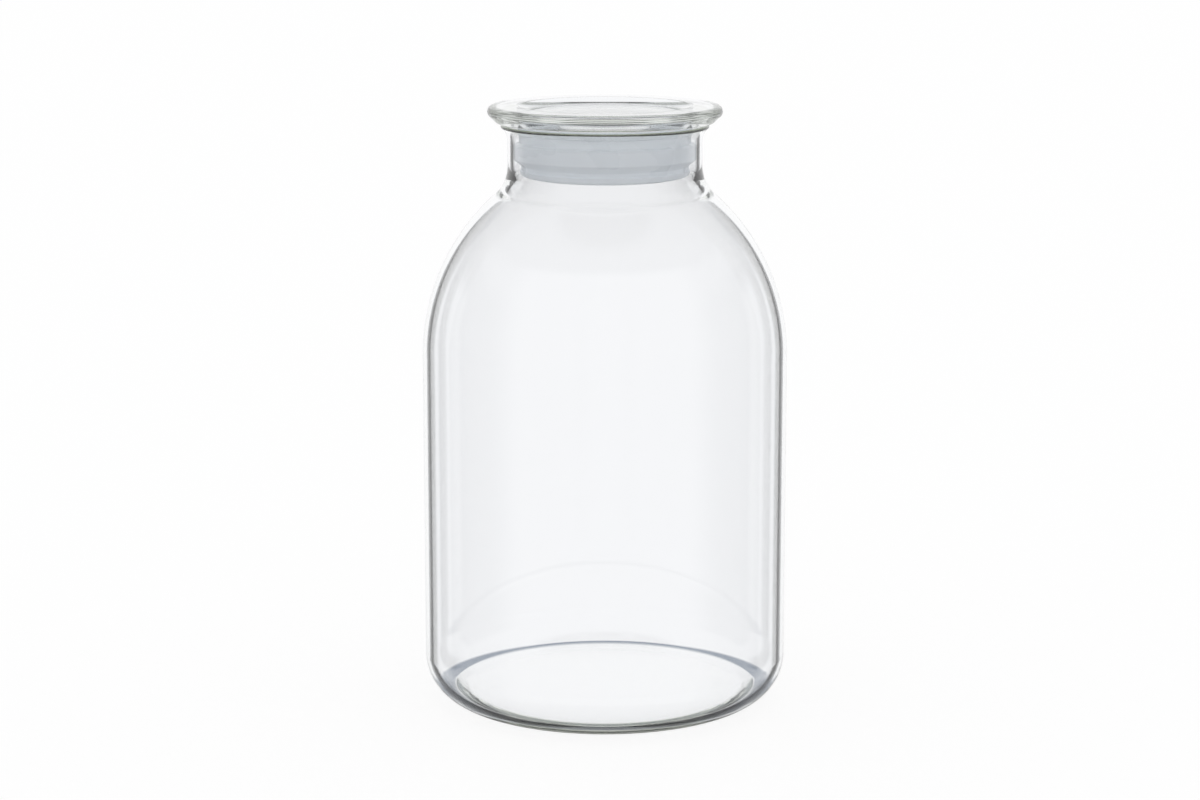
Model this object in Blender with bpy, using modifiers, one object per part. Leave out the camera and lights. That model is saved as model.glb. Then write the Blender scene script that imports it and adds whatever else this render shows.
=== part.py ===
# Glass storage jar: a clear body with a round shoulder and a short flared neck, closed by a clear lid.
# The lid's plug is a hollow skirt, open at its bottom. It wears a soft sealing sleeve, which presses on
# the inside of the neck.
# Lengths are in metres, +Z is up, and the jar stands on z = 0 with its axis on the Z axis.

import math

import bpy
from mathutils import Vector

# jar body
BODY_RADIUS = 0.0825
GLASS_WALL = 0.0033
BASE_CORNER_RADIUS = 0.0216
FLOOR_THICKNESS = 0.0057
FLOOR_ROUNDING = 0.0025
SHOULDER_START_HEIGHT = 0.1600
SHOULDER_RADIUS = 0.0965

# short straight neck, thinner than the body's wall, and its flared lip with a flat top
NECK_RADIUS = 0.0437
NECK_WALL = 0.0024
NECK_FILLET_RADIUS = 0.0180
NECK_STRAIGHT_LENGTH = 0.0105
FLARE_RADIUS = 0.0088
LIP_RISE = 0.0078
LIP_EDGE_RADIUS = 0.0008

# lid, its heights measured from the flat underside of its flange
LID_LIP_CLEARANCE = 0.0011
LID_RADIUS = 0.0527
LID_EDGE_RADIUS = 0.0027
LID_FLANGE_THICKNESS = 0.0075
LID_SLOPE_ANGLE = math.radians(45)
SLOPE_END_RADIUS = 0.0015
RECESS_DEPTH = 0.0027
RECESS_FLOOR_RADIUS = 0.0360
RECESS_RIM_RADIUS = 0.0395
RECESS_FLOOR_ROUNDING = 0.0012
RECESS_RIM_ROUNDING = 0.0015
PLUG_WALL = 0.0026
PLUG_DEPTH = 0.0256
PLUG_CEILING_RISE = 0.0005
PLUG_CEILING_ROUNDING = 0.0030
PLUG_END_ROUNDING = 0.0012
PLUG_ROOT_RADIUS = 0.0008

# sealing sleeve, its walls measured out from its bore and its drops down from its top
FIT_GAP = 0.0003
SLEEVE_HEIGHT = 0.0244
SLEEVE_TOP_CHAMFER = 0.0012
COLLAR_WALL = 0.0031
COLLAR_HEIGHT = 0.0030
SLEEVE_WALL = 0.0025
RING_WALL = 0.0050
RING_TOP_DROP = 0.0080
RING_EDGE_DROP = 0.0090
RING_BOTTOM_DROP = 0.0156
STEP_WALL = 0.0016
STEP_DROP = 0.0188
BEAD_WALL = 0.0023
BEAD_DROP = 0.0204
RING_ROUNDING = 0.0012
SLEEVE_ROUNDING = 0.0006
BEAD_ROUNDING = 0.0014

TURN_STEPS = 48
SMOOTH_ANGLE = math.radians(35)
MERGE_DISTANCE = 0.00001
RIGHT_ANGLE = math.pi / 2

# the sleeve's ring fits the neck's bore, the sleeve's bore fits the plug
INNER_BODY_RADIUS = BODY_RADIUS - GLASS_WALL
NECK_BORE_RADIUS = NECK_RADIUS - NECK_WALL
RING_RADIUS = NECK_BORE_RADIUS - FIT_GAP
SLEEVE_BORE_RADIUS = RING_RADIUS - RING_WALL
PLUG_RADIUS = SLEEVE_BORE_RADIUS - FIT_GAP

# the corner's two curves share their centre, and a small rounding joins the inner one to the flat floor
CORNER_CENTRE = BODY_RADIUS - BASE_CORNER_RADIUS
INNER_CORNER_RADIUS = BASE_CORNER_RADIUS - GLASS_WALL
ROUNDING_DROP = BASE_CORNER_RADIUS - FLOOR_THICKNESS - FLOOR_ROUNDING
ROUNDING_REACH = math.sqrt((INNER_CORNER_RADIUS - FLOOR_ROUNDING) ** 2 - ROUNDING_DROP ** 2)
ROUNDING_ANGLE = math.atan2(ROUNDING_DROP, ROUNDING_REACH)

# the shoulder's outer curve meets the neck's fillet on the line between their centres
SHOULDER_CENTRE = BODY_RADIUS - SHOULDER_RADIUS
FILLET_CENTRE = NECK_RADIUS + NECK_FILLET_RADIUS
CENTRE_DISTANCE = SHOULDER_RADIUS + NECK_FILLET_RADIUS
MEETING_ANGLE = math.acos((FILLET_CENTRE - SHOULDER_CENTRE) / CENTRE_DISTANCE)
SHOULDER_RISE = CENTRE_DISTANCE * math.sin(MEETING_ANGLE)
NECK_HEIGHT = SHOULDER_START_HEIGHT + SHOULDER_RISE
NECK_TOP_HEIGHT = NECK_HEIGHT + NECK_STRAIGHT_LENGTH

# the inner curve starts on the body's bore and ends on the inside of the same fillet, so the wall thins
INNER_FILLET_RADIUS = NECK_FILLET_RADIUS + NECK_WALL
INNER_REACH = INNER_BODY_RADIUS - FILLET_CENTRE
INNER_SHOULDER_RADIUS = ((INNER_REACH ** 2 + SHOULDER_RISE ** 2 - INNER_FILLET_RADIUS ** 2)
                         / (INNER_FILLET_RADIUS + INNER_REACH) / 2)
INNER_SHOULDER_CENTRE = INNER_BODY_RADIUS - INNER_SHOULDER_RADIUS
INNER_MEETING_ANGLE = math.atan2(SHOULDER_RISE, FILLET_CENTRE - INNER_SHOULDER_CENTRE)

# the flare's two curves share their centre, and the lip's rounded edge runs from the outer one to the top
FLARE_CENTRE = NECK_RADIUS + FLARE_RADIUS
INNER_FLARE_RADIUS = FLARE_RADIUS + NECK_WALL
INNER_FLARE_ANGLE = math.asin(LIP_RISE / INNER_FLARE_RADIUS)
LIP_EDGE_REACH = FLARE_RADIUS + LIP_EDGE_RADIUS
FLARE_ANGLE = math.asin((LIP_RISE - LIP_EDGE_RADIUS) / LIP_EDGE_REACH)
LIP_EDGE_CENTRE = FLARE_CENTRE - LIP_EDGE_REACH * math.cos(FLARE_ANGLE)
LIP_TOP_HEIGHT = NECK_TOP_HEIGHT + LIP_RISE

LID_SEAT_HEIGHT = LIP_TOP_HEIGHT + LID_LIP_CLEARANCE
SLEEVE_TOP_HEIGHT = LID_SEAT_HEIGHT - FIT_GAP


def arc(centre_radius, centre_height, radius, start, end, steps):
    # points on a circle in the (radius, height) plane, both ends included
    points = []
    for step in range(steps + 1):
        angle = start + (end - start) * step / steps
        points.append((centre_radius + radius * math.cos(angle), centre_height + radius * math.sin(angle)))
    return points


def rounded(corners, steps):
    # outline through (radius, height, rounding) corners, each rounded corner turned into an arc
    points = []
    for index, (radius, height, rounding) in enumerate(corners):
        here = Vector((radius, height))
        if rounding == 0:
            points.append((here.x, here.y))
            continue
        before = Vector(corners[index - 1][:2])
        after = Vector(corners[(index + 1) % len(corners)][:2])
        back = (before - here).normalized()
        ahead = (after - here).normalized()
        half_angle = back.angle(ahead) / 2
        centre = here + (back + ahead).normalized() * rounding / math.sin(half_angle)
        first = here + back * rounding / math.tan(half_angle) - centre
        last = here + ahead * rounding / math.tan(half_angle) - centre
        start = math.atan2(first.y, first.x)
        swing = math.remainder(math.atan2(last.y, last.x) - start, math.tau)
        points.extend(arc(centre.x, centre.y, rounding, start, start + swing, steps))
    return points


def jar_outline():
    # from the middle of the floor up the inside, over the lip, and down the outside to the base
    points = [(0, FLOOR_THICKNESS)]
    points += arc(CORNER_CENTRE + ROUNDING_REACH, FLOOR_THICKNESS + FLOOR_ROUNDING, FLOOR_ROUNDING,
                  -RIGHT_ANGLE, -ROUNDING_ANGLE, 3)
    points += arc(CORNER_CENTRE, BASE_CORNER_RADIUS, INNER_CORNER_RADIUS, -ROUNDING_ANGLE, 0, 6)[1:]
    points += arc(INNER_SHOULDER_CENTRE, SHOULDER_START_HEIGHT, INNER_SHOULDER_RADIUS,
                  0, INNER_MEETING_ANGLE, 10)
    points += arc(FILLET_CENTRE, NECK_HEIGHT, INNER_FILLET_RADIUS,
                  math.pi + INNER_MEETING_ANGLE, math.pi, 5)[1:]
    points += arc(FLARE_CENTRE, NECK_TOP_HEIGHT, INNER_FLARE_RADIUS,
                  math.pi, math.pi - INNER_FLARE_ANGLE, 4)
    points += arc(LIP_EDGE_CENTRE, LIP_TOP_HEIGHT - LIP_EDGE_RADIUS, LIP_EDGE_RADIUS,
                  RIGHT_ANGLE, -FLARE_ANGLE, 6)
    points += arc(FLARE_CENTRE, NECK_TOP_HEIGHT, FLARE_RADIUS, math.pi - FLARE_ANGLE, math.pi, 6)[1:]
    points += arc(FILLET_CENTRE, NECK_HEIGHT, NECK_FILLET_RADIUS, math.pi, math.pi + MEETING_ANGLE, 5)
    points += arc(SHOULDER_CENTRE, SHOULDER_START_HEIGHT, SHOULDER_RADIUS, MEETING_ANGLE, 0, 10)[1:]
    points += arc(CORNER_CENTRE, BASE_CORNER_RADIUS, BASE_CORNER_RADIUS, 0, -RIGHT_ANGLE, 6)
    points.append((0, 0))
    return points


def lid_outline():
    # from the middle of the recess over the flange, down the plug's outside and back up its hollow
    hollow_radius = PLUG_RADIUS - PLUG_WALL
    recess_floor = LID_FLANGE_THICKNESS - RECESS_DEPTH
    edge_reach = LID_EDGE_RADIUS * math.tan((math.pi - LID_SLOPE_ANGLE) / 2)
    slope_top_radius = LID_RADIUS - LID_EDGE_RADIUS + edge_reach
    slope_end_radius = slope_top_radius - LID_FLANGE_THICKNESS / math.tan(LID_SLOPE_ANGLE)
    corners = [
        (0, recess_floor, 0),
        (RECESS_FLOOR_RADIUS, recess_floor, RECESS_FLOOR_ROUNDING),
        (RECESS_RIM_RADIUS, LID_FLANGE_THICKNESS, RECESS_RIM_ROUNDING),
        (slope_top_radius, LID_FLANGE_THICKNESS, LID_EDGE_RADIUS),
        (slope_end_radius, 0, SLOPE_END_RADIUS),
        (PLUG_RADIUS, 0, PLUG_ROOT_RADIUS),
        (PLUG_RADIUS, -PLUG_DEPTH, PLUG_END_ROUNDING),
        (hollow_radius, -PLUG_DEPTH, PLUG_END_ROUNDING),
        (hollow_radius, PLUG_CEILING_RISE, PLUG_CEILING_ROUNDING),
        (0, PLUG_CEILING_RISE, 0),
    ]
    return rounded(corners, 5)


def seal_outline():
    # a closed ring outline: down the outside, and back up the bore that holds the plug
    collar = SLEEVE_BORE_RADIUS + COLLAR_WALL
    sleeve = SLEEVE_BORE_RADIUS + SLEEVE_WALL
    step = SLEEVE_BORE_RADIUS + STEP_WALL
    bead = SLEEVE_BORE_RADIUS + BEAD_WALL
    corners = [
        (SLEEVE_BORE_RADIUS, -SLEEVE_TOP_CHAMFER, 0),
        (SLEEVE_BORE_RADIUS + SLEEVE_TOP_CHAMFER, 0, 0),
        (collar, 0, SLEEVE_ROUNDING),
        (collar, -COLLAR_HEIGHT, SLEEVE_ROUNDING),
        (sleeve, -COLLAR_HEIGHT - SLEEVE_ROUNDING, SLEEVE_ROUNDING),
        (sleeve, -RING_TOP_DROP, SLEEVE_ROUNDING),
        (RING_RADIUS, -RING_EDGE_DROP, RING_ROUNDING),
        (RING_RADIUS, -RING_BOTTOM_DROP, RING_ROUNDING),
        (step, -STEP_DROP, SLEEVE_ROUNDING),
        (step, -BEAD_DROP, SLEEVE_ROUNDING),
        (bead, -BEAD_DROP - SLEEVE_ROUNDING, SLEEVE_ROUNDING),
        (bead, -SLEEVE_HEIGHT, BEAD_ROUNDING),
        (SLEEVE_BORE_RADIUS, -SLEEVE_HEIGHT, 0),
    ]
    return rounded(corners, 2)


def glass_material(name, tint):
    material = bpy.data.materials.new(name)
    material.use_nodes = True
    shader = material.node_tree.nodes["Principled BSDF"]
    shader.inputs["Base Color"].default_value = tint
    shader.inputs["Roughness"].default_value = 0.02
    shader.inputs["IOR"].default_value = 1.5
    shader.inputs["Transmission Weight"].default_value = 1.0
    return material


def silicone_material(name):
    material = bpy.data.materials.new(name)
    material.use_nodes = True
    shader = material.node_tree.nodes["Principled BSDF"]
    shader.inputs["Base Color"].default_value = (0.60, 0.63, 0.67, 1.0)
    shader.inputs["Roughness"].default_value = 0.45
    shader.inputs["Metallic"].default_value = 0.0
    return material


def turned(name, outline, closed, height, material, collection):
    # a body of revolution round its own Z axis, standing at the given height on the shared axis
    mesh = bpy.data.meshes.new(name)
    vertices = [(radius, 0, level) for radius, level in outline]
    edges = [(index, index + 1) for index in range(len(vertices) - 1)]
    if closed:
        edges.append((len(vertices) - 1, 0))
    mesh.from_pydata(vertices, edges, [])
    item = bpy.data.objects.new(name, mesh)
    collection.objects.link(item)
    item.location = (0, 0, height)
    screw = item.modifiers.new("Screw", "SCREW")
    screw.axis = "Z"
    screw.steps = TURN_STEPS
    screw.render_steps = TURN_STEPS
    screw.use_merge_vertices = True
    screw.merge_threshold = MERGE_DISTANCE
    screw.use_smooth_shade = True
    mesh.materials.append(material)
    return item


def shaded_smooth(item):
    # the turned surface becomes the object's own mesh, smooth but for its sharp steps
    bpy.context.view_layer.update()
    evaluated = item.evaluated_get(bpy.context.evaluated_depsgraph_get())
    mesh = bpy.data.meshes.new_from_object(evaluated)
    mesh.name = item.name
    item.modifiers.clear()
    item.data = mesh
    mesh.shade_smooth()
    mesh.set_sharp_from_angle(angle=SMOOTH_ANGLE)


def main():
    for item in list(bpy.data.objects):
        bpy.data.objects.remove(item, do_unlink=True)
    collection = bpy.data.collections.new("glass_storage_jar")
    bpy.context.scene.collection.children.link(collection)

    jar_glass = glass_material("jar_glass", (0.95, 0.97, 0.96, 1.0))
    lid_glass = glass_material("lid_glass", (0.94, 0.97, 0.95, 1.0))
    silicone = silicone_material("seal_silicone")

    jar = turned("glass_jar", jar_outline(), False, 0, jar_glass, collection)
    seal = turned("silicone_seal", seal_outline(), True, SLEEVE_TOP_HEIGHT, silicone, collection)
    lid = turned("glass_lid", lid_outline(), False, LID_SEAT_HEIGHT, lid_glass, collection)
    for item in (jar, seal, lid):
        shaded_smooth(item)

    # the closure lifts out of the jar, and the lid pulls out of its sleeve
    seal.parent = jar
    lid.parent = seal
    lid.location = (0, 0, LID_SEAT_HEIGHT - SLEEVE_TOP_HEIGHT)


main()
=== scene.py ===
from math import acos, asin, atan2, cos, hypot, pi, radians, sin, sqrt, tan, tau

import bpy
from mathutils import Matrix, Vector


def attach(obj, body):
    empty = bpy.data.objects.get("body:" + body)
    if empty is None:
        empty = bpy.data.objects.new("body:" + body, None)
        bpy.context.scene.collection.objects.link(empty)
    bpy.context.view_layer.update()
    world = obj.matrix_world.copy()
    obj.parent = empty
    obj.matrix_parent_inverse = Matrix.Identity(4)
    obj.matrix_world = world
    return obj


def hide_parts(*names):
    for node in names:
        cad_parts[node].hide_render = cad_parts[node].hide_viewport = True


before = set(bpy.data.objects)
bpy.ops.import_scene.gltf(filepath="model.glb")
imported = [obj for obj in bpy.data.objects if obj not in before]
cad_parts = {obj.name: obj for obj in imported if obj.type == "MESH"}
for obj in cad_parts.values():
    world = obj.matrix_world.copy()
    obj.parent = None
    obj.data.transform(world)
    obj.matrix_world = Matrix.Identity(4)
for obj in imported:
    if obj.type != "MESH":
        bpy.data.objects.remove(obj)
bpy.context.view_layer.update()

scene = bpy.context.scene
print("frame loaded:", ", ".join(sorted(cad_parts)))


# points nearer than this are one point, and faces shade smooth where they meet at less than this angle
joinDistance = 0.000002
smoothAngle = radians(35)
plainWhite = (1, 1, 1, 1)

# an outline is drawn: one point, pulled along and swung round centres
# the pen holds the radius and height of the outline's last point
pen = [0.0, 0.0]


def startOutline(name, radius, height):
    # a small plane, merged to the outline's first point
    bpy.ops.object.select_all(action="DESELECT")
    bpy.ops.mesh.primitive_plane_add(size=0.002, location=(0, 0, 0))
    piece = bpy.context.object
    piece.name = name
    piece.data.name = name
    bpy.ops.object.mode_set(mode="EDIT")
    bpy.ops.mesh.select_all(action="SELECT")
    bpy.ops.mesh.merge(type="CENTER")
    bpy.ops.transform.translate(value=(radius, 0, height))
    pen[:] = radius, height
    return piece


def lineTo(radius, height):
    move = (radius - pen[0], 0, height - pen[1])
    if hypot(move[0], move[2]) < joinDistance:
        return
    bpy.ops.mesh.extrude_vertices_move(TRANSFORM_OT_translate={"value": move})
    pen[:] = radius, height


def swing(centreRadius, centreHeight, angle, steps):
    # angle > 0 turns from the radius towards the height
    bpy.ops.mesh.spin(steps=steps, angle=angle, center=(centreRadius, 0, centreHeight), axis=(0, 1, 0))
    r, h = pen[0] - centreRadius, pen[1] - centreHeight
    pen[:] = (centreRadius + r * cos(angle) - h * sin(angle), centreHeight + r * sin(angle) + h * cos(angle))


def cornersTo(corners, steps, closed=False):
    # lines through (radius, height, rounding) corners, each rounding drawn as its own swing
    count = len(corners)
    for i in range(1, count + (1 if closed else 0)):
        radius, height, rounding = corners[i % count]
        if not rounding:
            lineTo(radius, height)
            continue
        here = Vector((radius, height))
        back = (Vector(corners[i - 1][:2]) - here).normalized()
        ahead = (Vector(corners[(i + 1) % count][:2]) - here).normalized()
        half = back.angle(ahead) / 2
        centre = here + (back + ahead).normalized() * rounding / sin(half)
        first = here + back * rounding / tan(half)
        turn = pi - 2 * half
        side = 1 if back.x * ahead.y - back.y * ahead.x < 0 else -1
        lineTo(first.x, first.y)
        swing(centre.x, centre.y, side * turn, steps)


def turnOutline(piece, steps):
    # the outline spins a full turn round the jar's axis, then the seam and the poles are joined
    bpy.ops.mesh.select_all(action="SELECT")
    bpy.ops.mesh.remove_doubles(threshold=joinDistance)
    bpy.ops.mesh.select_all(action="SELECT")
    bpy.ops.mesh.spin(steps=steps, angle=tau, center=(0, 0, 0), axis=(0, 0, 1))
    bpy.ops.mesh.select_all(action="SELECT")
    bpy.ops.mesh.remove_doubles(threshold=joinDistance)
    bpy.ops.mesh.normals_make_consistent(inside=False)
    bpy.ops.object.mode_set(mode="OBJECT")
    bpy.ops.object.shade_smooth_by_angle(angle=smoothAngle)
    # flat glass keeps flat normals up to its roundings, otherwise it bends light like a lens
    bpy.ops.object.modifier_add(type="WEIGHTED_NORMAL")
    piece.modifiers[-1].keep_sharp = True
    bpy.ops.object.modifier_apply(modifier=piece.modifiers[-1].name)
    bpy.ops.object.select_all(action="DESELECT")
    print(piece.name, "turned,", len(piece.data.polygons), "faces")
    return piece


def newMaterial(name):
    material = bpy.data.materials.new(name)
    material.use_nodes = True
    nodes = material.node_tree.nodes
    return material, nodes, material.node_tree.links, nodes["Principled BSDF"], nodes["Material Output"]


def node(nodes, kind, **values):
    made = nodes.new(kind)
    for name, value in values.items():
        setattr(made, name, value)
    return made


def maths(nodes, links, operation, *inputs):
    made = node(nodes, "ShaderNodeMath", operation=operation)
    for i, value in enumerate(inputs):
        if isinstance(value, (int, float)):
            made.inputs[i].default_value = value
        else:
            links.new(value, made.inputs[i])
    return made.outputs[0]


def ramp(nodes, links, value, low, high, atLow, atHigh):
    made = node(nodes, "ShaderNodeMapRange", interpolation_type="SMOOTHSTEP")
    links.new(value, made.inputs["Value"])
    for i, number in enumerate((low, high, atLow, atHigh)):
        if isinstance(number, (int, float)):
            made.inputs[i + 1].default_value = number
        else:
            links.new(number, made.inputs[i + 1])
    return made.outputs[0]


def edge(nodes, links, value, at, soft, before, after):
    # one level before an angle and another after it, with a soft edge, all in degrees
    return ramp(nodes, links, value, radians(at - soft), radians(at + soft), before, after)


def dip(nodes, links, value, middle, half, soft, inside, outside):
    # one level inside a band of angles and another outside it, with soft edges, all in degrees
    distance = maths(nodes, links, "ABSOLUTE", maths(nodes, links, "SUBTRACT", value, radians(middle)))
    return ramp(nodes, links, distance, radians(half - soft / 2), radians(half + soft / 2), inside, outside)


def blend(nodes, links, factor, first, second):
    made = node(nodes, "ShaderNodeMix", data_type="FLOAT")
    for i, value in enumerate((factor, None, first, second)):
        if isinstance(value, (int, float)):
            made.inputs[i].default_value = value
        elif value is not None:
            links.new(value, made.inputs[i])
    return made.outputs["Result"]


def tint(nodes, links, factor, first, second):
    made = node(nodes, "ShaderNodeMix", data_type="RGBA")
    links.new(factor, made.inputs["Factor"])
    for name, value in (("A", first), ("B", second)):
        if isinstance(value, tuple):
            made.inputs[name].default_value = value
        else:
            links.new(value, made.inputs[name])
    return made.outputs["Result"]


# the jar, heights from the table
jar = {
    "bodyRadius": 0.0825, "wall": 0.0033, "baseCorner": 0.0216, "floorThickness": 0.0057,
    "floorRounding": 0.0025, "shoulderStart": 0.1600, "shoulderRadius": 0.0965,
    "neckRadius": 0.0437, "neckWall": 0.0024, "neckFillet": 0.0180, "boreFillet": 0.0120,
    "neckStraight": 0.0105, "flareRadius": 0.0088, "lipRise": 0.0078, "lipEdge": 0.0008,
    "cornerSteps": 30, "shoulderSteps": 40, "filletSteps": 20, "lipSteps": 14, "boreSteps": 30,
    "innerCornerSteps": 20, "roundingSteps": 8, "turnSteps": 224,
}


def buildJar():
    j = jar
    boreRadius = j["neckRadius"] - j["neckWall"]
    cornerCentre = j["bodyRadius"] - j["baseCorner"]
    roundingDrop = j["baseCorner"] - j["floorThickness"] - j["floorRounding"]
    roundingReach = sqrt((j["baseCorner"] - j["wall"] - j["floorRounding"]) ** 2 - roundingDrop ** 2)
    roundingAngle = atan2(roundingDrop, roundingReach)
    shoulderCentre = j["bodyRadius"] - j["shoulderRadius"]
    filletCentre = j["neckRadius"] + j["neckFillet"]
    reach = j["shoulderRadius"] + j["neckFillet"]
    meeting = acos((filletCentre - shoulderCentre) / reach)
    rise = reach * sin(meeting)
    neckHeight = j["shoulderStart"] + rise
    neckTop = neckHeight + j["neckStraight"]
    boreCentre = boreRadius + j["boreFillet"]
    innerReach = j["shoulderRadius"] - j["wall"] + j["boreFillet"]
    innerMeeting = acos((boreCentre - shoulderCentre) / innerReach)
    boreHeight = j["shoulderStart"] + innerReach * sin(innerMeeting)
    flareCentre = j["neckRadius"] + j["flareRadius"]
    innerFlare = j["flareRadius"] + j["neckWall"]
    innerFlareAngle = asin(j["lipRise"] / innerFlare)
    edgeReach = j["flareRadius"] + j["lipEdge"]
    flareAngle = asin((j["lipRise"] - j["lipEdge"]) / edgeReach)
    edgeCentre = flareCentre - edgeReach * cos(flareAngle)
    lipTop = neckTop + j["lipRise"]

    piece = startOutline("jarBody", 0, 0)
    lineTo(cornerCentre, 0)
    swing(cornerCentre, j["baseCorner"], pi / 2, j["cornerSteps"])
    lineTo(j["bodyRadius"], j["shoulderStart"])
    swing(shoulderCentre, j["shoulderStart"], meeting, j["shoulderSteps"])
    swing(filletCentre, neckHeight, -meeting, j["filletSteps"])
    lineTo(j["neckRadius"], neckTop)
    swing(flareCentre, neckTop, -flareAngle, j["lipSteps"])
    swing(edgeCentre, lipTop - j["lipEdge"], flareAngle + pi / 2, j["lipSteps"])
    lineTo(flareCentre - innerFlare * cos(innerFlareAngle), lipTop)
    swing(flareCentre, neckTop, innerFlareAngle, j["lipSteps"])
    lineTo(boreRadius, boreHeight)
    swing(boreCentre, boreHeight, innerMeeting, j["boreSteps"])
    swing(shoulderCentre, j["shoulderStart"], -innerMeeting, j["shoulderSteps"])
    lineTo(j["bodyRadius"] - j["wall"], j["baseCorner"])
    swing(cornerCentre, j["baseCorner"], -roundingAngle, j["innerCornerSteps"])
    swing(cornerCentre + roundingReach, j["floorThickness"] + j["floorRounding"], roundingAngle - pi / 2,
          j["roundingSteps"])
    lineTo(0, j["floorThickness"])
    return turnOutline(piece, j["turnSteps"])


# the lid, heights from the flat underside of its flange
lid = {
    "seatHeight": 0.2653, "radius": 0.0527, "edgeRadius": 0.0027, "flange": 0.0075, "slope": radians(45),
    "slopeEnd": 0.0015, "recessDepth": 0.0027, "recessFloor": 0.0360, "recessRim": 0.0395,
    "recessFloorRound": 0.0012, "recessRimRound": 0.0015, "plugRadius": 0.0357, "plugWall": 0.0026,
    "plugDepth": 0.0256, "ceilingRise": 0.0005, "ceilingRound": 0.0030, "plugEndRound": 0.0012,
    "plugRoot": 0.0008, "roundSteps": 16, "turnSteps": 224,
}


def buildLid():
    d = lid
    base = d["seatHeight"]
    hollow = d["plugRadius"] - d["plugWall"]
    recessHeight = base + d["flange"] - d["recessDepth"]
    topHeight = base + d["flange"]
    edgeReach = d["edgeRadius"] * tan((pi - d["slope"]) / 2)
    slopeTop = d["radius"] - d["edgeRadius"] + edgeReach
    slopeFoot = slopeTop - d["flange"] / tan(d["slope"])
    piece = startOutline("lidBody", 0, recessHeight)
    cornersTo([
        (0, recessHeight, 0),
        (d["recessFloor"], recessHeight, d["recessFloorRound"]),
        (d["recessRim"], topHeight, d["recessRimRound"]),
        (slopeTop, topHeight, d["edgeRadius"]),
        (slopeFoot, base, d["slopeEnd"]),
        (d["plugRadius"], base, d["plugRoot"]),
        (d["plugRadius"], base - d["plugDepth"], d["plugEndRound"]),
        (hollow, base - d["plugDepth"], d["plugEndRound"]),
        (hollow, base + d["ceilingRise"], d["ceilingRound"]),
        (0, base + d["ceilingRise"], 0),
    ], d["roundSteps"])
    return turnOutline(piece, d["turnSteps"])


# the sealing sleeve, walls out from its bore and drops down from its top
seal = {
    "topHeight": 0.2650, "bore": 0.0360, "height": 0.0244, "topChamfer": 0.0012,
    "collarWall": 0.0031, "collarDrop": 0.0030, "sleeveWall": 0.0025,
    "ringWall": 0.0050, "ringTopDrop": 0.0080, "ringEdgeDrop": 0.0090, "ringBottomDrop": 0.0156,
    "stepWall": 0.0016, "stepDrop": 0.0188, "beadWall": 0.0023, "beadDrop": 0.0204,
    "smallRound": 0.0006, "ringRound": 0.0012, "beadRound": 0.0014, "roundSteps": 8,
    "turnSteps": 160,
}


def buildSeal():
    s = seal
    bore, top, small = s["bore"], s["topHeight"], s["smallRound"]
    corners = [
        (bore, top - s["topChamfer"], 0),
        (bore + s["topChamfer"], top, 0),
        (bore + s["collarWall"], top, small),
        (bore + s["collarWall"], top - s["collarDrop"], small),
        (bore + s["sleeveWall"], top - s["collarDrop"] - small, small),
        (bore + s["sleeveWall"], top - s["ringTopDrop"], small),
        (bore + s["ringWall"], top - s["ringEdgeDrop"], s["ringRound"]),
        (bore + s["ringWall"], top - s["ringBottomDrop"], s["ringRound"]),
        (bore + s["stepWall"], top - s["stepDrop"], small),
        (bore + s["stepWall"], top - s["beadDrop"], small),
        (bore + s["beadWall"], top - s["beadDrop"] - small, small),
        (bore + s["beadWall"], top - s["height"], s["beadRound"]),
        (bore, top - s["height"], 0),
    ]
    piece = startOutline("sealSleeve", corners[0][0], corners[0][1])
    cornersTo(corners, s["roundSteps"], closed=True)
    return turnOutline(piece, s["turnSteps"])


glassLook = {
    "ior": 1.5, "waveScale": 9.0, "waveDetail": 1.0, "waveStrength": 0.35,
    "jarWaves": 0.00003, "lidWaves": 0.000004,
    "tint": (0.58, 0.63, 0.47, 1), "jarDensity": 5.0, "lidDensity": 4.0,
    # painted light at the lip: a green colour, and the share of the glass there that turns matte to show it
    "lipPaintedLightColour": (0.78, 0.90, 0.66, 1), "lipStart": 0.2635, "lipEnd": 0.2641, "lipPaintedLightShare": 0.35,
}


def glassMaterial(name, density, waveHeight, lip):
    g = glassLook
    material, nodes, links, shader, output = newMaterial(name)
    shader.inputs["Base Color"].default_value = plainWhite
    shader.inputs["Roughness"].default_value = 0
    shader.inputs["IOR"].default_value = g["ior"]
    shader.inputs["Transmission Weight"].default_value = 1
    place = node(nodes, "ShaderNodeTexCoord")
    # slow waves of a wall that was blown or pressed hot
    waves = node(nodes, "ShaderNodeTexNoise")
    waves.inputs["Scale"].default_value = g["waveScale"]
    waves.inputs["Detail"].default_value = g["waveDetail"]
    links.new(place.outputs["Object"], waves.inputs["Vector"])
    bump = node(nodes, "ShaderNodeBump")
    bump.inputs["Strength"].default_value = g["waveStrength"]
    bump.inputs["Distance"].default_value = waveHeight
    links.new(waves.outputs["Fac"], bump.inputs["Height"])
    links.new(bump.outputs["Normal"], shader.inputs["Normal"])
    if lip:
        # painted light: the lip's rounded edge is painted the green that light gathers along the whole wall,
        # and made partly matte to show it
        split = node(nodes, "ShaderNodeSeparateXYZ")
        links.new(place.outputs["Object"], split.inputs[0])
        nearTop = ramp(nodes, links, split.outputs["Z"], g["lipStart"], g["lipEnd"], 0, 1)
        links.new(tint(nodes, links, nearTop, plainWhite, g["lipPaintedLightColour"]), shader.inputs["Base Color"])
        # painted light: this share of the lip turns from clear glass to the painted green
        paintedLightShare = maths(nodes, links, "MULTIPLY", nearTop, g["lipPaintedLightShare"])
        links.new(maths(nodes, links, "SUBTRACT", 1.0, paintedLightShare), shader.inputs["Transmission Weight"])
    # thick glass is a little greener than thin glass
    depth = node(nodes, "ShaderNodeVolumeAbsorption")
    depth.inputs["Color"].default_value = g["tint"]
    depth.inputs["Density"].default_value = density
    links.new(depth.outputs[0], output.inputs["Volume"])
    return material


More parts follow.
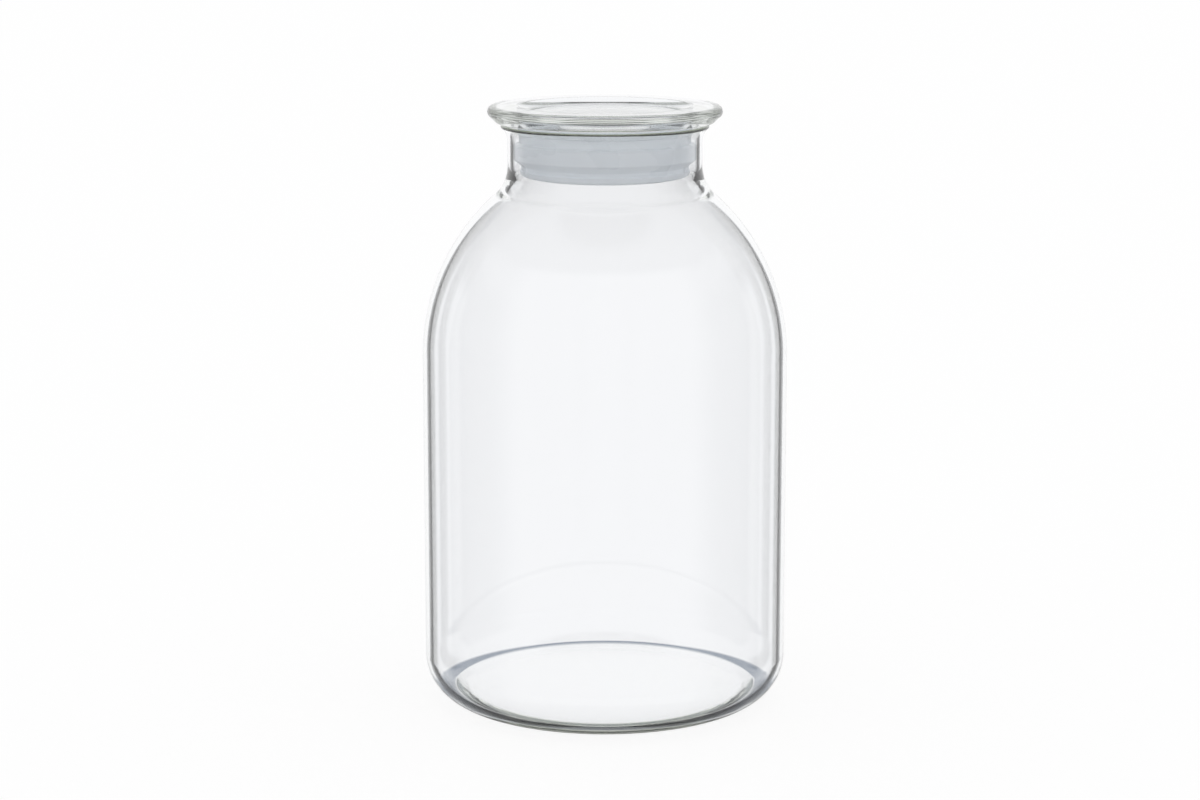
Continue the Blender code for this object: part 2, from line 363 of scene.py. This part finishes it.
sealLook = {
    "colour": (0.87, 0.915, 0.97, 1), "dull": (0.83, 0.885, 0.95, 1),
    "sheenLow": 0.21, "sheenHigh": 0.33, "gloss": 0.5, "glow": 0.04,
    "cloudScale": 40.0, "cloudDetail": 3.0, "cloudLow": 0.3, "cloudHigh": 0.7,
    "grainScale": 900.0, "grainHeight": 0.00003, "grainStrength": 0.3,
}


def siliconeMaterial():
    s = sealLook
    material, nodes, links, shader, output = newMaterial("satinSilicone")
    place = node(nodes, "ShaderNodeTexCoord")
    clouds = node(nodes, "ShaderNodeTexNoise")
    clouds.inputs["Scale"].default_value = s["cloudScale"]
    clouds.inputs["Detail"].default_value = s["cloudDetail"]
    links.new(place.outputs["Object"], clouds.inputs["Vector"])
    links.new(tint(nodes, links, clouds.outputs["Fac"], s["dull"], s["colour"]), shader.inputs["Base Color"])
    sheen = ramp(nodes, links, clouds.outputs["Fac"], s["cloudLow"], s["cloudHigh"],
                 s["sheenLow"], s["sheenHigh"])
    links.new(sheen, shader.inputs["Roughness"])
    shader.inputs["Specular IOR Level"].default_value = s["gloss"]
    # a weak glow for the light that soaks through the soft wall
    shader.inputs["Emission Color"].default_value = s["colour"]
    shader.inputs["Emission Strength"].default_value = s["glow"]
    grain = node(nodes, "ShaderNodeTexNoise")
    grain.inputs["Scale"].default_value = s["grainScale"]
    links.new(place.outputs["Object"], grain.inputs["Vector"])
    bump = node(nodes, "ShaderNodeBump")
    bump.inputs["Strength"].default_value = s["grainStrength"]
    bump.inputs["Distance"].default_value = s["grainHeight"]
    links.new(grain.outputs["Fac"], bump.inputs["Height"])
    links.new(bump.outputs["Normal"], shader.inputs["Normal"])
    return material


# the studio, its angles in degrees and its lengths in metres
studio = {
    "cloth": (0.975, 0.980, 1.0, 1), "darkCloth": (0.80, 0.88, 1.0, 1), "backdrop": 0.98,
    "rearPanel": 1.0, "nextPanel": 0.80, "panelSoft": 1.0, "rearReach": 62.0,
    "flag": 0.0, "flagMiddle": 32.0, "flagHalf": 8.5, "flagSoft": 3.0,
    "foot": 0.12, "footMiddle": 36.0, "footHalf": 25.0, "footSoft": 6.0, "footTop": -24.0, "footTopSoft": 4.0,
    "sidePanel": 0.42, "frontPanel": 0.85, "frontFrom": 110.0, "frontSoft": 15.0,
    "overhead": 0.85, "overheadFrom": 24.0, "overheadSoft": 6.0,
    "ceiling": 0.0, "ceilingFrom": 66.0, "ceilingSoft": 4.0,
    "table": 0.27, "tableFrom": -39.5, "tableSoft": 3.0, "shade": 0.13, "shadeFrom": -45.0, "shadeTo": -60.0,
    "floorSize": 30.0, "floorDrop": 0.0003, "floorWhite": 0.90,
    "floorColour": (0.95, 0.95, 0.955, 1), "floorRoughness": 0.9,
    "ringColour": (0.28, 0.32, 0.38, 1), "ringInner": 0.0745, "ringOuter": 0.084, "ringSoft": 0.004,
}


def buildStudio():
    s = studio
    world = bpy.data.worlds.new("paleStudio")
    scene.world = world
    world.use_nodes = True
    nodes, links = world.node_tree.nodes, world.node_tree.links
    background = nodes["Background"]
    rays = node(nodes, "ShaderNodeLightPath")
    place = node(nodes, "ShaderNodeTexCoord")
    split = node(nodes, "ShaderNodeSeparateXYZ")
    links.new(place.outputs["Generated"], split.inputs[0])
    # a bright panel behind the jar with a dark flag on each side of it, and paler panels all round
    turn = maths(nodes, links, "ARCTAN2", split.outputs["X"], split.outputs["Y"])
    away = maths(nodes, links, "ABSOLUTE", turn)
    panels = edge(nodes, links, away, s["flagMiddle"], s["panelSoft"], s["rearPanel"], s["nextPanel"])
    behind = dip(nodes, links, away, s["flagMiddle"], s["flagHalf"], s["flagSoft"], s["flag"], panels)
    around = edge(nodes, links, away, s["frontFrom"], s["frontSoft"], s["sidePanel"], s["frontPanel"])
    # the flags stand on wide dark feet, which shade the table as well
    height = maths(nodes, links, "ARCSINE", split.outputs["Z"])
    feet = dip(nodes, links, away, s["footMiddle"], s["footHalf"], s["footSoft"], s["foot"], 1)
    low = edge(nodes, links, height, s["footTop"], s["footTopSoft"], 1, 0)
    behind = blend(nodes, links, low, behind, maths(nodes, links, "MULTIPLY", panels, feet))
    isBehind = maths(nodes, links, "LESS_THAN", away, radians(s["rearReach"]))
    walls = blend(nodes, links, isBehind, around, behind)
    # the table gets darker towards the jar's own shade
    table = ramp(nodes, links, height, radians(s["shadeTo"]), radians(s["shadeFrom"]), s["shade"], s["table"])
    table = maths(nodes, links, "MULTIPLY", table, feet)
    # all that is for light mirrored inside the glass: straight through, a plain backdrop shows on every side
    # a ray's depths are whole numbers, so less than a half means none
    isStraight = maths(nodes, links, "LESS_THAN", rays.outputs["Glossy Depth"], 0.5)
    walls = blend(nodes, links, isStraight, walls, s["backdrop"])
    table = blend(nodes, links, isStraight, table, s["backdrop"])
    # the ceiling starts bright above the walls and is dark overhead
    ceiling = edge(nodes, links, height, s["ceilingFrom"], s["ceilingSoft"], s["overhead"], s["ceiling"])
    above = edge(nodes, links, height, s["overheadFrom"], s["overheadSoft"], 0, 1)
    below = edge(nodes, links, height, s["tableFrom"], s["tableSoft"], 1, 0)
    level = blend(nodes, links, below, blend(nodes, links, above, walls, ceiling), table)
    # light that reaches a matte surface, also through the glass, is the plain even light of the room
    isLooking = maths(nodes, links, "LESS_THAN", rays.outputs["Diffuse Depth"], 0.5)
    isThrough = maths(nodes, links, "MULTIPLY", rays.outputs["Is Transmission Ray"], isLooking)
    mixed = blend(nodes, links, isThrough, 1.0, level)
    links.new(blend(nodes, links, rays.outputs["Is Camera Ray"], mixed, 1.0), background.inputs["Strength"])
    # the panels' cloth is a little blue, more so where it is dark, which shows only through the glass
    cloth = tint(nodes, links, level, s["darkCloth"], s["cloth"])
    links.new(tint(nodes, links, isThrough, plainWhite, cloth), background.inputs["Color"])

    bpy.ops.object.select_all(action="DESELECT")
    # a hair below the base, because glass and floor in one plane would swallow each other's faces
    bpy.ops.mesh.primitive_plane_add(size=s["floorSize"], location=(0, 0, -s["floorDrop"]))
    floor = bpy.context.object
    floor.name = "paleFloor"
    material, nodes, links, shader, output = newMaterial("paleFloorPaint")
    rays = node(nodes, "ShaderNodeLightPath")
    shader.inputs["Base Color"].default_value = s["floorColour"]
    shader.inputs["Roughness"].default_value = s["floorRoughness"]
    shader.inputs["Specular IOR Level"].default_value = 0.0
    white = node(nodes, "ShaderNodeEmission")
    white.inputs["Strength"].default_value = 1
    mix = node(nodes, "ShaderNodeMixShader")
    links.new(maths(nodes, links, "MULTIPLY", rays.outputs["Is Camera Ray"], s["floorWhite"]), mix.inputs[0])
    links.new(shader.outputs[0], mix.inputs[1])
    links.new(white.outputs[0], mix.inputs[2])
    # what is seen through the glass is the studio itself, with a grey ring of shade round the jar's foot
    place = node(nodes, "ShaderNodeTexCoord")
    length = node(nodes, "ShaderNodeVectorMath", operation="LENGTH")
    links.new(place.outputs["Object"], length.inputs[0])
    reach, soft = length.outputs["Value"], s["ringSoft"]
    beyond = ramp(nodes, links, reach, s["ringInner"] - soft, s["ringInner"], 0, 1)
    within = ramp(nodes, links, reach, s["ringOuter"], s["ringOuter"] + soft, 1, 0)
    ring = maths(nodes, links, "MULTIPLY", beyond, within)
    clear = node(nodes, "ShaderNodeBsdfTransparent")
    links.new(tint(nodes, links, ring, plainWhite, s["ringColour"]), clear.inputs["Color"])
    passing = node(nodes, "ShaderNodeMixShader")
    links.new(rays.outputs["Is Transmission Ray"], passing.inputs[0])
    links.new(mix.outputs[0], passing.inputs[1])
    links.new(clear.outputs[0], passing.inputs[2])
    links.new(passing.outputs[0], output.inputs["Surface"])
    floor.data.materials.append(material)
    print("studio ready")


# the camera, angles in degrees
view = {
    "sensor": 36.0, "lens": 90.9, "place": (0, -1.354, 0.400), "down": 10.93, "turn": 0.0945,
    "near": 0.05, "far": 30.0,
}


def buildCamera():
    cameraData = bpy.data.cameras.new("frontCamera")
    camera = bpy.data.objects.new("frontCamera", cameraData)
    scene.collection.objects.link(camera)
    cameraData.sensor_width = view["sensor"]
    cameraData.lens = view["lens"]
    cameraData.clip_start = view["near"]
    cameraData.clip_end = view["far"]
    camera.location = view["place"]
    camera.rotation_euler = (pi / 2 - radians(view["down"]), 0, radians(view["turn"]))
    scene.camera = camera
    print("camera ready")


buildCamera()
jarBody = buildJar()
lidBody = buildLid()
sealSleeve = buildSeal()
look = glassLook
jarBody.data.materials.append(glassMaterial("jarGlass", look["jarDensity"], look["jarWaves"], True))
lidBody.data.materials.append(glassMaterial("lidGlass", look["lidDensity"], look["lidWaves"], False))
sealSleeve.data.materials.append(siliconeMaterial())
for piece, body, cadNode, slot in (
    (jarBody, "jar", "glass_jar", "jar_glass"),
    (lidBody, "lid", "glass_lid", "lid_glass"),
    (sealSleeve, "seal", "silicone_seal", "seal_silicone"),
):
    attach(piece, body)
    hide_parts(cadNode)
print("pieces ride on their bodies")
buildStudio()

scene.view_settings.view_transform = "Standard"
# light that runs along inside a glass wall meets it many times before it gets out
bounces = 32
scene.cycles.max_bounces = bounces
scene.cycles.transmission_bounces = bounces
scene.cycles.glossy_bounces = bounces
